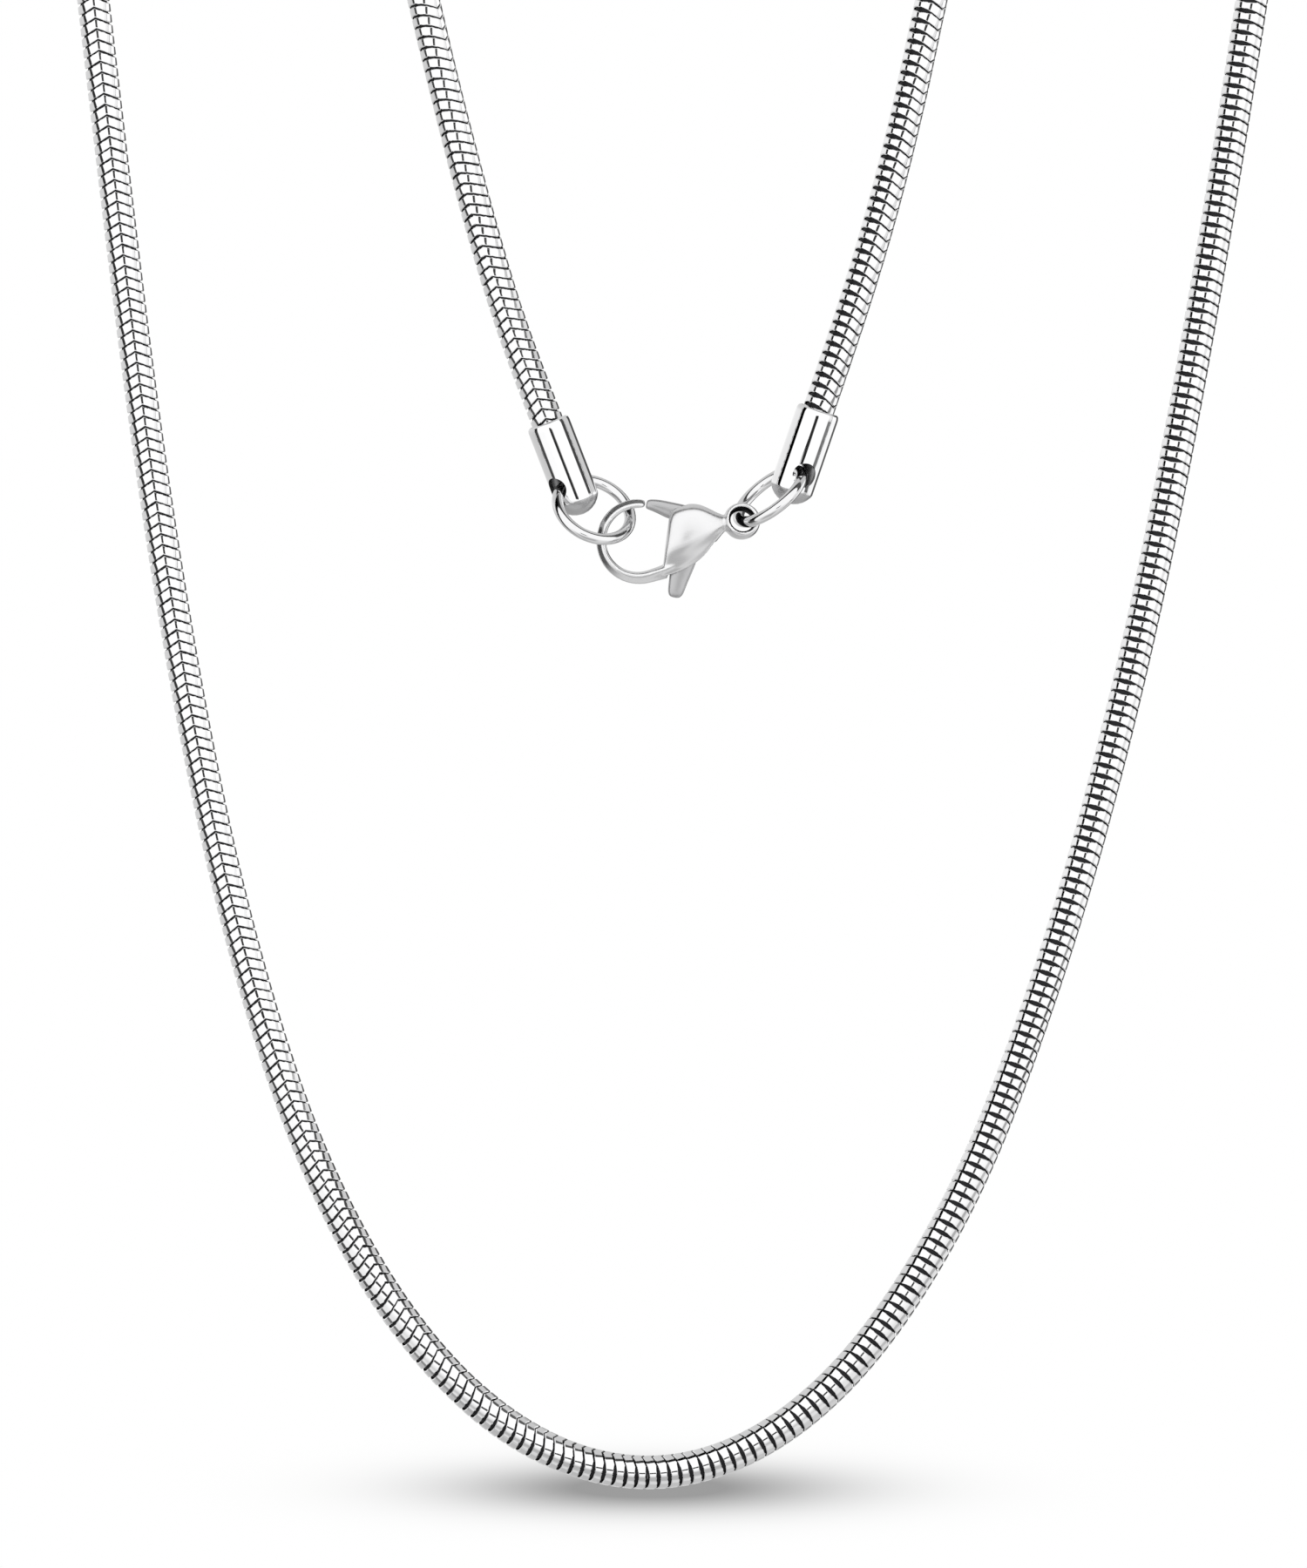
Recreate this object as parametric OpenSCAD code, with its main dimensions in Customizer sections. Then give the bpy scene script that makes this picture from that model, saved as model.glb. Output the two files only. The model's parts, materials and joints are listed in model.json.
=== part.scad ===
// Round snake chain necklace with tube end caps, two jump rings and a lobster clasp.
// Frame: millimetres, +Z up, the necklace hangs in the X-Z plane and is seen along +Y.
// The origin lies midway between the two arches, level with their undersides, which rest on the pegs.

/* [Chain] */
// Outer diameter of the snake chain
chain_d = 2.4; // [1.8:0.1:2.6]

/* [End caps] */
// Outer diameter of the tubular end cap
cap_d = 3.2; // [3:0.1:3.8]
// Whole length of the end cap, from its mouth to the top of its dome
cap_length = 7.25; // [6.9:0.05:8.5]
// Height of the domed end
cap_dome = 1.1; // [0.6:0.1:1.5]
// Depth of the socket that the chain is set in
seat_depth = 2.4; // [1.5:0.1:3]
// Clearance between the chain and the wall of its socket, and under its end
seat_gap = 0.06; // [0.02:0.01:0.15]
// Diameter of the cross hole that the jump ring passes through
hole_d = 1.8; // [1.6:0.1:2]
// Distance from the mouth of the cap to the middle of the cross hole
hole_at = 4.85; // [4.5:0.05:5.2]

/* [Jump rings] */
// Outer diameter of a jump ring
ring_d = 6.5; // [6:0.1:7]
// Diameter of the jump ring's wire
ring_wire = 0.85; // [0.6:0.05:0.95]
// Turn of the left cap's cross hole about the cap, from facing forward
left_hole_turn = 50; // [35:1:60]
// Turn of the right cap's cross hole about the cap, from facing forward
right_hole_turn = -22; // [-35:1:-10]
// Swing of the left jump ring about its cross hole
left_ring_swing = -30; // [-40:1:-20]
// Swing of the right jump ring about its cross hole
right_ring_swing = 32; // [28:1:36]

/* [Clasp body] */
// Rise of the clasp's long axis from the hook to the eyelet, in degrees
clasp_rise = 11.8; // [8:0.2:16]
// Outer radius of the hook
hook_r = 3.09; // [2.9:0.01:3.3]
// Diameter of the hook's wire where it leaves the body
hook_root_wire = 0.92; // [0.8:0.02:1.1]
// Diameter of the hook's wire at its tip
hook_tip_wire = 0.62; // [0.5:0.02:0.8]
// Distance from the middle of the hook to the middle of the eyelet
body_length = 7.7; // [7.5:0.1:8.2]
// Depth of the body between its lower edge and its upper edge
body_depth = 4.9; // [4.7:0.1:5.3]
// Thickness of the body from front to back
body_thick = 2.6; // [2.4:0.1:3]
// Outer diameter of the eyelet
eyelet_d = 2.7; // [2.6:0.05:3]
// Diameter of the eyelet's hole
eyelet_hole = 1.75; // [1.7:0.05:1.8]
// Height of the eyelet along its hole
eyelet_height = 1.2; // [0.9:0.05:1.4]
// Turn of the eyelet's hole towards the right cap, in degrees
eyelet_turn = 14; // [5:1:18]

/* [Lever] */
// Thickness of the lever
lever_thick = 0.9; // [0.7:0.05:1]
// Clearance between the lever and the walls of its slot
lever_gap = 0.12; // [0.08:0.01:0.16]
// Distance from the pin to the end of the lever's nose
nose_reach = 3.56; // [3.4:0.02:3.6]
// Gap between the lever's nose and the tip of the hook
nose_gap = 0.12; // [0.1:0.01:0.2]
// Distance from the pin to the middle of the thumb tab's round end
tab_reach = 5.2; // [4.6:0.1:5.8]
// Width of the thumb tab near its end
tab_w = 1.3; // [1:0.05:1.5]
// Turn of the lever when the hook is open, in degrees
lever_open = 25; // [15:1:28]
// Diameter of the lever's pin
pin_d = 0.8; // [0.6:0.05:0.9]
// Radial clearance of the lever on its pin
pin_running_gap = 0.05; // [0.03:0.01:0.08]
// Radial clearance of the pin in the body
pin_seat_gap = 0.02; // [0.01:0.01:0.04]

/* [Hidden] */
steel = [0.80, 0.80, 0.81];
round_fn = 48;
overcut = 1;

// The chain's middle line as [x, z], from the mouth of the left cap, up the inner strand, over
// the left arch, round the outer loop, over the right arch and down to the right cap
chain_route = [
    [-9.8, -67.5], [-12.7, -60], [-15, -52], [-17.1, -44], [-19, -36], [-20.8, -28],
    [-22.4, -20], [-23.8, -13], [-24.4, -7], [-27, -1.7], [-32, 1.3], [-37.5, 1.3],
    [-42.5, -1.7], [-45.1, -7], [-45.3, -14], [-44.6, -22], [-43.6, -32], [-42.2, -44],
    [-40.8, -56], [-39.3, -68], [-37.5, -80], [-35.4, -92], [-32.8, -104], [-29.3, -116],
    [-26.1, -124], [-22.1, -131.5], [-17, -138.1], [-10.5, -143.3], [-2.4, -145.5], [5.4, -143.3],
    [11.9, -138.1], [16.8, -131.5], [21, -124], [24.3, -116], [28.4, -104], [31.6, -92],
    [34.4, -80], [36.7, -68], [38.8, -56], [40.7, -44], [42.5, -32], [44, -22], [45.2, -14],
    [45.4, -7], [42.8, -1.7], [37.5, 1.4], [31.8, 1.4], [26.5, -1.6], [23.8, -7],
    [23.2, -13], [22, -20], [20.4, -28], [18.4, -36], [16.8, -44], [14.8, -52],
    [12.7, -59], [10.1, -66.6]
];
halfway = floor(len(chain_route) / 2);
route_end = len(chain_route) - 1;
tube_sides = 8;
ring_pitch = 9;
most_turn = 24;

// Sections of the clasp's body from its open front to its neck: the lower edge and the upper
// edge, each as a share of body_length and of body_depth, and the share of body_thick
BODY_SECTIONS = [
    // low x, low z, high x, high z, thickness
    [0.120, -0.600, 0.360, 0.310, 0.78],
    [0.210, -0.588, 0.400, 0.372, 0.92],
    [0.310, -0.568, 0.480, 0.386, 1.00],
    [0.410, -0.538, 0.545, 0.380, 1.00],
    [0.510, -0.484, 0.610, 0.360, 0.96],
    [0.600, -0.406, 0.675, 0.306, 0.87],
    [0.690, -0.296, 0.740, 0.220, 0.74],
    [0.770, -0.195, 0.805, 0.150, 0.60],
    [0.830, -0.130, 0.850, 0.110, 0.48],
    [0.870, -0.110, 0.880, 0.090, 0.42]
];
section_sides = 12;
section_power = 0.85;

// The lever's pin from the middle of the hook, as shares of body_length and body_depth
pin_at = [0.545 * body_length, 0.153 * body_depth];

// Outline of the lever's nose from its pin, as shares of nose_reach
NOSE_OUTLINE = [
    // x, z
    [0.05, 0.20], [-0.12, 0.28], [-0.25, 0.40], [-0.38, 0.47], [-0.54, 0.54], [-0.70, 0.57],
    [-1.00, 0.60], [-1.00, 0.33], [-0.65, 0.25], [-0.47, 0.09], [-0.30, -0.08], [-0.05, -0.20]
];
// Direction of the thumb tab from the pin, and the share of tab_reach and tab_w at its flare
tab_turn = -110;
tab_flare = [0.58, 1.15];
hub_r = 0.19 * nose_reach;
hook_start = -50;
hook_stop = -296;
hook_rings = 18;
hook_sides = 10;
lever_steps = 2;
eyelet_drop = 0.03 * body_depth;
eyelet_wall = (eyelet_d - eyelet_hole) / 2;
ring_r = (ring_d - ring_wire) / 2;
// How far the ring's middle is nearer to the hole than its radius, so that its arc clears the bore
ring_bow = ring_r - sqrt(ring_r * ring_r - pow(cap_d / 4, 2));
pin_blind = 0.25;
// How far the pin reaches back from the middle of the body, flush with its back face
pin_back = 0.42 * body_thick;
slot_half = lever_thick / 2 + lever_gap;

// Chain: one smooth curve near the route's points, and the tube swept along it
function ends_added(p) = concat([2 * p[0] - p[1]], p, [2 * p[len(p) - 1] - p[len(p) - 2]]);
bends = ends_added(chain_route);
function curve_at(i, t) = (pow(1 - t, 3) * bends[i] + (3 * pow(t, 3) - 6 * t * t + 4) * bends[i + 1]
    + (-3 * pow(t, 3) + 3 * t * t + 3 * t + 1) * bends[i + 2] + pow(t, 3) * bends[i + 3]) / 6;
function slope_at(i, t) = (-pow(1 - t, 2) * bends[i] + (3 * t * t - 4 * t) * bends[i + 1]
    + (-3 * t * t + 2 * t + 1) * bends[i + 2] + t * t * bends[i + 3]) / 2;
function unit(v) = v / norm(v);
function turn_of(i) = acos(min(1, unit(bends[i + 2] - bends[i]) * unit(bends[i + 3] - bends[i + 1])));
function steps_of(i) = max(1, round(norm(bends[i + 2] - bends[i + 1]) / ring_pitch),
    ceil(turn_of(i) / most_turn));

// Stations of the tube as [point, direction] between two of the route's points
function stations(first, last) = concat(
    [for (i = [first:last - 1]) for (k = [0:steps_of(i) - 1])
        [curve_at(i, k / steps_of(i)), unit(slope_at(i, k / steps_of(i)))]],
    [[curve_at(last - 1, 1), unit(slope_at(last - 1, 1))]]);
function shifted(s, d) = [s[0] + d * s[1], s[1]];
seat_reach = seat_depth - seat_gap;
all_left = stations(0, halfway);
all_right = stations(halfway, route_end);
left_stations = concat([shifted(all_left[0], -seat_reach)], all_left);
right_stations = concat(all_right, [shifted(all_right[len(all_right) - 1], seat_reach)]);

function ring_points(s) = [for (k = [0:tube_sides - 1]) let (a = 360 * k / tube_sides)
    [s[0][0] - chain_d / 2 * cos(a) * s[1][1], chain_d / 2 * sin(a),
     s[0][1] + chain_d / 2 * cos(a) * s[1][0]]];
function tube_faces(rings, sides) = concat(
    [[for (k = [sides - 1:-1:0]) k]],
    [for (j = [0:rings - 2]) for (k = [0:sides - 1]) let (n = (k + 1) % sides)
        [j * sides + k, j * sides + n, (j + 1) * sides + n, (j + 1) * sides + k]],
    [[for (k = [0:sides - 1]) (rings - 1) * sides + k]]);

module chain_tube(s) {
    polyhedron(
        points = [for (one = s) each ring_points(one)],
        faces = tube_faces(len(s), tube_sides),
        convexity = 8
    );
}

module chain_left() {
    color(steel) chain_tube(left_stations);
}

module chain_right() {
    color(steel) chain_tube(right_stations);
}

// End caps: each stands at the chain's end, in line with it, its own +Z away from the chain
mouth_left = all_left[0];
mouth_right = all_right[len(all_right) - 1];
function lean(direction) = atan2(direction[0], -direction[1]);
lean_left = lean(-mouth_left[1]);
lean_right = lean(mouth_right[1]);

module at_cap(mouth, lean) {
    translate([mouth[0], 0, mouth[1]]) rotate([0, 180 - lean, 0]) children();
}

// The frame of the cross hole, its own -Y along the hole and its +Z towards the ring's far side
module at_hole(turn, swing) {
    rotate([0, 0, turn]) translate([0, 0, hole_at]) rotate([0, swing, 0]) children();
}

module end_cap(turn) {
    cap_r = cap_d / 2;
    dome_r = (cap_r * cap_r + cap_dome * cap_dome) / (2 * cap_dome);
    difference() {
        intersection() {
            cylinder(h = cap_length, r = cap_r, $fn = round_fn);
            union() {
                cylinder(h = cap_length - cap_dome, r = cap_d, $fn = round_fn);
                translate([0, 0, cap_length - dome_r]) sphere(r = dome_r, $fn = round_fn);
            }
        }
        translate([0, 0, -overcut])
            cylinder(h = seat_depth + overcut, r = chain_d / 2 + seat_gap, $fn = round_fn);
        at_hole(turn, 0) rotate([90, 0, 0])
            cylinder(h = 2 * cap_d, d = hole_d, center = true, $fn = round_fn);
    }
}

module end_cap_left() {
    color(steel) at_cap(mouth_left[0], lean_left) end_cap(left_hole_turn);
}

module end_cap_right() {
    color(steel) at_cap(mouth_right[0], lean_right) end_cap(right_hole_turn);
}

// Jump rings: closed wire rings through the caps' cross holes
module jump_ring() {
    translate([0, 0, ring_r - ring_bow]) rotate([0, 90, 0])
        rotate_extrude($fn = round_fn) translate([ring_r, 0]) circle(d = ring_wire, $fn = round_fn);
}

module jump_ring_left() {
    color(steel) at_cap(mouth_left[0], lean_left) at_hole(left_hole_turn, left_ring_swing) jump_ring();
}

module jump_ring_right() {
    color(steel) at_cap(mouth_right[0], lean_right) at_hole(right_hole_turn, right_ring_swing)
        jump_ring();
}

// Place of the right ring's far side, worked out as at_cap and at_hole place it
far_z = hole_at + cos(right_ring_swing) * (2 * ring_r - ring_bow);
far_side = sin(right_ring_swing) * (2 * ring_r - ring_bow);
far_x = far_side * cos(right_hole_turn);
far_y = far_side * sin(right_hole_turn);
far_point = [
    mouth_right[0][0] - far_x * cos(lean_right) + far_z * sin(lean_right),
    far_y,
    mouth_right[0][1] - far_x * sin(lean_right) - far_z * cos(lean_right)
];

// Clasp: drawn with the middle of its hook at the origin and its eyelet along +X
module at_clasp() {
    translate(far_point) rotate([0, -clasp_rise, 0]) translate([-body_length, 0, eyelet_drop])
        children();
}

function hook_angle(k) = hook_start + (hook_stop - hook_start) * k / hook_rings;
function hook_wire_r(k) = (hook_root_wire + (hook_tip_wire - hook_root_wire) * k / hook_rings) / 2;
function hook_ring(k) = [for (j = [0:hook_sides - 1])
    let (a = 360 * j / hook_sides, w = hook_wire_r(k), r = hook_r - w + w * cos(a))
    [r * cos(hook_angle(k)), w * sin(a), r * sin(hook_angle(k))]];

module hook() {
    difference() {
        polyhedron(
            points = [for (k = [0:hook_rings]) each hook_ring(k)],
            faces = tube_faces(hook_rings + 1, hook_sides),
            convexity = 6
        );
        intersection() {
            translate([pin_at[0], 0, pin_at[1]]) rotate([90, 0, 0])
                cylinder(h = body_thick, r = nose_reach + nose_gap, center = true, $fn = 2 * round_fn);
            translate([0, -body_thick / 2, 0]) cube([body_length, body_thick, 2 * hook_r]);
        }
    }
}

// One section of the body, an oval drawn between its lower edge and its upper edge
function rounded(v) = sign(v) * pow(abs(v), section_power);
function body_ring(row) = [for (j = [0:section_sides - 1])
    let (a = 360 * j / section_sides, s = (1 + rounded(cos(a))) / 2)
    [(row[0] + (row[2] - row[0]) * s) * body_length,
     rounded(sin(a)) * row[4] * body_thick / 2,
     (row[1] + (row[3] - row[1]) * s) * body_depth]];

module body_shell() {
    polyhedron(
        points = [for (row = BODY_SECTIONS) each body_ring(row)],
        faces = tube_faces(len(BODY_SECTIONS), section_sides),
        convexity = 6
    );
}

module eyelet() {
    straight = eyelet_height / 2 - eyelet_wall / 2;
    translate([body_length, 0, -eyelet_drop]) rotate([0, 0, eyelet_turn]) rotate([90, 0, 0])
        rotate_extrude($fn = round_fn) {
            translate([eyelet_hole / 2, -straight]) square([eyelet_wall, 2 * straight]);
            for (side = [-1, 1])
                translate([(eyelet_hole + eyelet_wall) / 2, side * straight])
                    circle(d = eyelet_wall, $fn = round_fn);
        }
}

module lever_outline() {
    intersection() {
        polygon(nose_reach * NOSE_OUTLINE);
        circle(r = nose_reach, $fn = 2 * round_fn);
    }
    circle(r = hub_r, $fn = round_fn);
    rotate(tab_turn) {
        polygon([
            [0, -hub_r], [tab_reach, -tab_w / 2], [tab_reach, tab_w / 2],
            [tab_flare[0] * tab_reach, tab_flare[1] * tab_w], [0, hub_r]
        ]);
        translate([tab_reach, 0]) circle(d = tab_w, $fn = round_fn);
    }
}

// Everything that the lever sweeps inside the body, with its clearance
module lever_slot() {
    translate([pin_at[0], 0, pin_at[1]]) rotate([90, 0, 0])
        linear_extrude(height = 2 * slot_half, center = true, convexity = 6)
            for (k = [0:lever_steps])
                rotate(lever_open * k / lever_steps) offset(delta = lever_gap) lever_outline();
}

module at_pin() {
    translate([pin_at[0], 0, pin_at[1]]) rotate([90, 0, 0]) children();
}

module clasp_body() {
    color(steel) at_clasp() difference() {
        union() {
            hook();
            body_shell();
            eyelet();
        }
        lever_slot();
        translate([body_length, 0, -eyelet_drop]) rotate([0, 0, eyelet_turn]) rotate([90, 0, 0])
            cylinder(h = body_thick, d = eyelet_hole, center = true, $fn = round_fn);
        at_pin() translate([0, 0, -body_thick])
            cylinder(h = body_thick + slot_half + pin_blind, r = pin_d / 2 + pin_seat_gap, $fn = round_fn);
    }
}

module clasp_pin() {
    color(steel) at_clasp() at_pin() translate([0, 0, -pin_back])
        cylinder(h = pin_back + slot_half + pin_blind - pin_seat_gap, d = pin_d, $fn = round_fn);
}

module clasp_lever() {
    color(steel) at_clasp() at_pin() difference() {
        linear_extrude(height = lever_thick, center = true, convexity = 6) lever_outline();
        cylinder(h = body_thick, r = pin_d / 2 + pin_running_gap, center = true, $fn = round_fn);
    }
}

chain_left();
chain_right();
end_cap_left();
end_cap_right();
jump_ring_left();
jump_ring_right();
clasp_body();
clasp_pin();
clasp_lever();
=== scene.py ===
# %% [markdown]
# # A snake chain necklace in polished steel
# The frame below is the measured part: every solid has its real size and place. The lesson
# dresses it. The chain gets its real links, the small fittings get smooth polished surfaces,
# and a white light tent with a few dark slits gives the steel something to mirror.

# %% Load the measured frame
import json
import math

import bpy
import numpy as np
from mathutils import Matrix, Vector


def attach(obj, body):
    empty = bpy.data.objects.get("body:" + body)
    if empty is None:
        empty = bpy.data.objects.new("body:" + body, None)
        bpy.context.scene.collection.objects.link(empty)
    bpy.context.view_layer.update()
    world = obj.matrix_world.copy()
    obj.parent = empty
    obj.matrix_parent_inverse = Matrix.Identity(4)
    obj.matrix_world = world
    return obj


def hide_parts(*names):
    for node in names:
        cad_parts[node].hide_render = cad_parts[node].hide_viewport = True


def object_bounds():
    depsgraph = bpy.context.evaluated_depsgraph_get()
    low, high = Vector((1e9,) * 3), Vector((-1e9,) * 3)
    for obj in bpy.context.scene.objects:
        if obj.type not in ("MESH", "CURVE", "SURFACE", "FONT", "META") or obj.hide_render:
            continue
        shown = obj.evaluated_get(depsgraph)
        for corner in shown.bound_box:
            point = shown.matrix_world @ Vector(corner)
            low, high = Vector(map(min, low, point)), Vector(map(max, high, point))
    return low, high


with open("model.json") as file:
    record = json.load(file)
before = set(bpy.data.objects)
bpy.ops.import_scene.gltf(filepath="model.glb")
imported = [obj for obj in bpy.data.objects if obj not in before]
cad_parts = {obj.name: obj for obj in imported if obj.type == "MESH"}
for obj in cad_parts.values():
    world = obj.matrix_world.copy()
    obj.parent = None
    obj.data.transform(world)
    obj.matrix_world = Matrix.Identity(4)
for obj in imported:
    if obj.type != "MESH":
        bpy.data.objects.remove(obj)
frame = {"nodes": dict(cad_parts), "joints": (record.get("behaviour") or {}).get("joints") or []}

cad_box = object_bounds()
print("the frame's box:", [round(v, 4) for corner in cad_box for v in corner])

# %% [markdown]
# ## The camera
# The photograph is taken straight from the front with a long lens, a touch from above. It
# shows a stretch 96 mm wide and 115 mm high of the plane in which the necklace hangs. A near
# camera would see round the sides of the strands, so it stands two metres off, and the lens
# follows from that distance and from the height of the view.

# %% Camera
AIM = Vector((-0.00202, 0.0, -0.0941))
VIEW_HEIGHT = 0.1151
CAMERA_DISTANCE = 2.0
CAMERA_RISE = math.radians(3)
SENSOR = 36.0
NEAREST, FARTHEST = 0.01, 20

camera_data = bpy.data.cameras.new("camera")
camera = bpy.data.objects.new("camera", camera_data)
bpy.context.scene.collection.objects.link(camera)
bpy.context.scene.camera = camera
camera_data.sensor_width = SENSOR
camera_data.lens = SENSOR * CAMERA_DISTANCE / VIEW_HEIGHT
camera_data.clip_start = NEAREST
camera_data.clip_end = FARTHEST
camera.location = AIM + CAMERA_DISTANCE * Vector((0, -math.cos(CAMERA_RISE), math.sin(CAMERA_RISE)))
camera.rotation_euler = (math.radians(90) - CAMERA_RISE, 0, 0)
print("lens", round(camera_data.lens), "mm at", CAMERA_DISTANCE, "m")

# %% [markdown]
# ## The line of the chain
# The chain hangs in one plane. These are the same points that the frame's route has, as x and
# z in metres, and the smooth line near them is a uniform cubic B-spline. It is measured out in
# small steps, so that links can be set along it at an even distance. A curve object would bend
# just as well, but a plain list of points also gives the length run at each of them.

# %% Route of the chain
ROUTE = [
    (-0.0098, -0.0675), (-0.0127, -0.06), (-0.015, -0.052), (-0.0171, -0.044), (-0.019, -0.036),
    (-0.0208, -0.028), (-0.0224, -0.02), (-0.0238, -0.013), (-0.0244, -0.007), (-0.027, -0.0017),
    (-0.032, 0.0013), (-0.0375, 0.0013), (-0.0425, -0.0017), (-0.0451, -0.007), (-0.0453, -0.014),
    (-0.0446, -0.022), (-0.0436, -0.032), (-0.0422, -0.044), (-0.0408, -0.056), (-0.0393, -0.068),
    (-0.0375, -0.08), (-0.0354, -0.092), (-0.0328, -0.104), (-0.0293, -0.116), (-0.0261, -0.124),
    (-0.0221, -0.1315), (-0.017, -0.1381), (-0.0105, -0.1433), (-0.0024, -0.1455), (0.0054, -0.1433),
    (0.0119, -0.1381), (0.0168, -0.1315), (0.021, -0.124), (0.0243, -0.116), (0.0284, -0.104),
    (0.0316, -0.092), (0.0344, -0.08), (0.0367, -0.068), (0.0388, -0.056), (0.0407, -0.044),
    (0.0425, -0.032), (0.044, -0.022), (0.0452, -0.014), (0.0454, -0.007), (0.0428, -0.0017),
    (0.0375, 0.0014), (0.0318, 0.0014), (0.0265, -0.0016), (0.0238, -0.007), (0.0232, -0.013),
    (0.022, -0.02), (0.0204, -0.028), (0.0184, -0.036), (0.0168, -0.044), (0.0148, -0.052),
    (0.0127, -0.059), (0.0101, -0.0666),
]
LOWEST = min(range(len(ROUTE)), key=lambda i: ROUTE[i][1])
STEPS = 60
NEARBY = 0.0003

bends = np.array(ROUTE)
bends = np.vstack([2 * bends[0] - bends[1], bends, 2 * bends[-1] - bends[-2]])


def curve_point(i, t):
    """The curve's point at share t between two of the route's points."""
    weights = ((1 - t) ** 3, 3 * t**3 - 6 * t**2 + 4, -3 * t**3 + 3 * t**2 + 3 * t + 1, t**3)
    return sum(w * bends[i + k] for k, w in enumerate(weights)) / 6


line = [curve_point(i, k / STEPS) for i in range(len(ROUTE) - 1) for k in range(STEPS)]
line = np.array(line + [curve_point(len(ROUTE) - 2, 1.0)])
run = np.concatenate([[0], np.cumsum(np.linalg.norm(np.diff(line, axis=0), axis=1))])
half_run = run[LOWEST * STEPS]
print("chain length", round(run[-1], 4), "m, first half", round(half_run, 4), "m")


def on_line(s):
    """Point and direction of the chain at run s, in the plane; it goes straight on past its ends."""
    inner = min(max(s, 0), run[-1])
    at, before, after = (
        np.array([np.interp(inner + step, run, line[:, 0]), np.interp(inner + step, run, line[:, 1])])
        for step in (0, -NEARBY, NEARBY))
    way = (after - before) / np.linalg.norm(after - before)
    return at + (s - inner) * way, way


# %% [markdown]
# ## Polished steel
# Polished stainless steel is nearly colourless and mirrors what stands round it. A finished
# piece is never perfect: the polish leaves a faint waviness and hair-fine scratches. A picture
# of scratches would need unwrapped surfaces. Noise on the piece's own coordinates needs none,
# and here it drives a slight bump, a slight change of gloss and a slight change of tone.

# %% Steel materials
MM = 0.001
LEAST_GLOSS, MOST_GLOSS = 0.7, 1.4
DARKEST = 0.9
RIPPLE_DETAIL = 3
SOFT_BLEND = 0.4
# A Mix node has sockets for every kind of value, and these are the ones for colours
MIX_FIRST, MIX_SECOND, MIX_RESULT = 6, 7, 2


def node_math(tree, operation, *values):
    """One step of arithmetic in a node tree, on sockets or plain numbers."""
    step = tree.nodes.new("ShaderNodeMath")
    step.operation = operation
    for socket, value in zip(step.inputs, values):
        if isinstance(value, (int, float)):
            socket.default_value = value
        else:
            tree.links.new(value, socket)
    return step.outputs[0]


def soft_zone(tree, place, middle, reach):
    """How far inside a round zone a point of the piece lies: 1 in its middle, 0 outside it."""
    zone = tree.nodes.new("ShaderNodeMapping")
    zone.vector_type = "TEXTURE"
    zone.inputs["Location"].default_value = middle
    zone.inputs["Scale"].default_value = (reach, reach, reach)
    off = tree.nodes.new("ShaderNodeVectorMath")
    off.operation = "LENGTH"
    tree.links.new(place, zone.inputs["Vector"])
    tree.links.new(zone.outputs["Vector"], off.inputs[0])
    outside = node_math(tree, "SMOOTH_MIN", off.outputs["Value"], 1.0, SOFT_BLEND)
    return node_math(tree, "SUBTRACT", 1.0, outside)


def steel(name, bright, gloss, ripple, ripple_size, cool=0.005, soft=None):
    """Polished steel: brightness, roughness, and its ripple's height and size in millimetres.

    Its blue lies a little (cool) above its red and green. A soft zone (middle, reach, gloss),
    in metres, is rougher: broad faces lose a little of their polish."""
    material = bpy.data.materials.new(name)
    material.use_nodes = True
    tree = material.node_tree
    tree.nodes.clear()
    out = tree.nodes.new("ShaderNodeOutputMaterial")
    shader = tree.nodes.new("ShaderNodeBsdfPrincipled")
    shader.inputs["Metallic"].default_value = 1.0
    place = tree.nodes.new("ShaderNodeTexCoord")
    wave = tree.nodes.new("ShaderNodeTexNoise")
    wave.inputs["Scale"].default_value = 1 / (ripple_size * MM)
    wave.inputs["Detail"].default_value = RIPPLE_DETAIL
    tone = tree.nodes.new("ShaderNodeMapRange")
    tone.inputs["To Min"].default_value = gloss * LEAST_GLOSS
    tone.inputs["To Max"].default_value = gloss * MOST_GLOSS
    colour = (bright, bright, bright + cool)
    tint = tree.nodes.new("ShaderNodeMix")
    tint.data_type = "RGBA"
    tint.inputs[MIX_FIRST].default_value = (*[part * DARKEST for part in colour], 1)
    tint.inputs[MIX_SECOND].default_value = (*colour, 1)
    bump = tree.nodes.new("ShaderNodeBump")
    bump.inputs["Strength"].default_value = 1.0
    bump.inputs["Distance"].default_value = ripple * MM
    tree.links.new(place.outputs["Object"], wave.inputs["Vector"])
    tree.links.new(wave.outputs["Fac"], tone.inputs["Value"])
    tree.links.new(wave.outputs["Fac"], tint.inputs["Factor"])
    tree.links.new(tint.outputs[MIX_RESULT], shader.inputs["Base Color"])
    roughness = tone.outputs["Result"]
    if soft:
        middle, reach, soft_gloss = soft
        inside = soft_zone(tree, place.outputs["Object"], middle, reach)
        roughness = node_math(tree, "MULTIPLY_ADD", inside, soft_gloss, roughness)
    tree.links.new(roughness, shader.inputs["Roughness"])
    tree.links.new(wave.outputs["Fac"], bump.inputs["Height"])
    tree.links.new(bump.outputs["Normal"], shader.inputs["Normal"])
    tree.links.new(shader.outputs["BSDF"], out.inputs["Surface"])
    return material


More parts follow.
